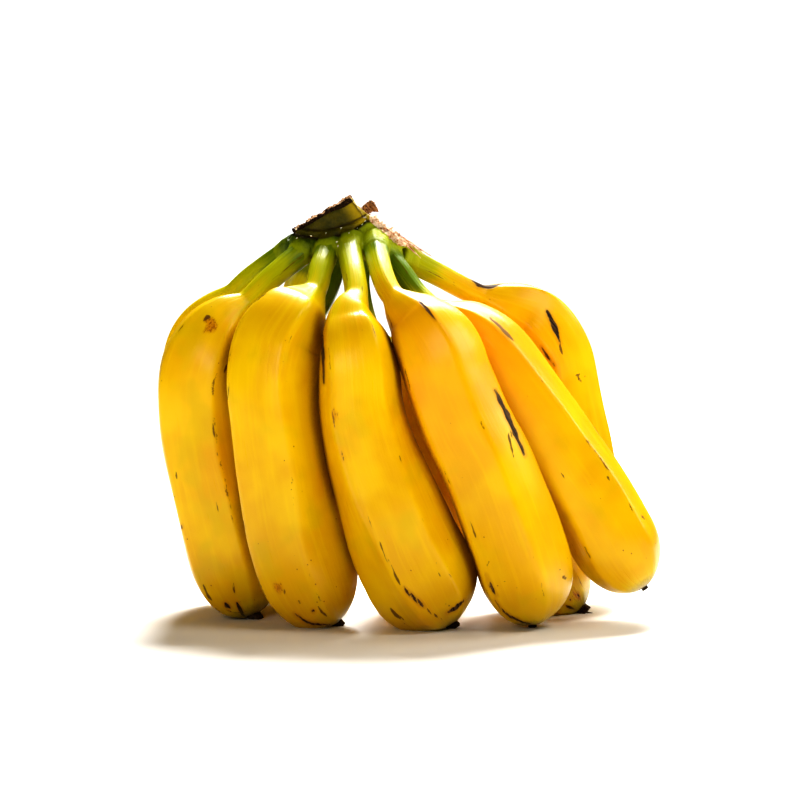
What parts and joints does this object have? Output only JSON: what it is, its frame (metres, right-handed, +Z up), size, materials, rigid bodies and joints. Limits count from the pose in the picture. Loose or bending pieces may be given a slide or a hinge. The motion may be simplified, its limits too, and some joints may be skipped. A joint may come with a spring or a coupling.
{
  "type": "hand of bananas",
  "caption": "Hand of short, plump yellow dessert bananas joined at a cut green crown, standing on the tips of its fruits",
  "frame": {"origin": "On the surface that the fruit tips stand on, below the middle of the hand's bounding box", "axes": "+X along the hand's width, to the right in the picture; +Y from its front to its back; +Z up, from the tips to the cut crown"},
  "size_m": [0.2082, 0.1412, 0.1746],
  "materials": {
    "peel": "satin",
    "crown": "matte"
  },
  "bodies": {
    "root": {"crown": "crown", "banana_outer_1": "peel", "banana_outer_2": "peel", "banana_outer_3": "peel", "banana_outer_4": "peel", "banana_outer_5": "peel", "banana_outer_6": "peel", "banana_outer_7": "peel", "banana_inner_1": "peel", "banana_inner_2": "peel", "banana_inner_3": "peel", "banana_inner_4": "peel"}
  },
  "joints": []
}
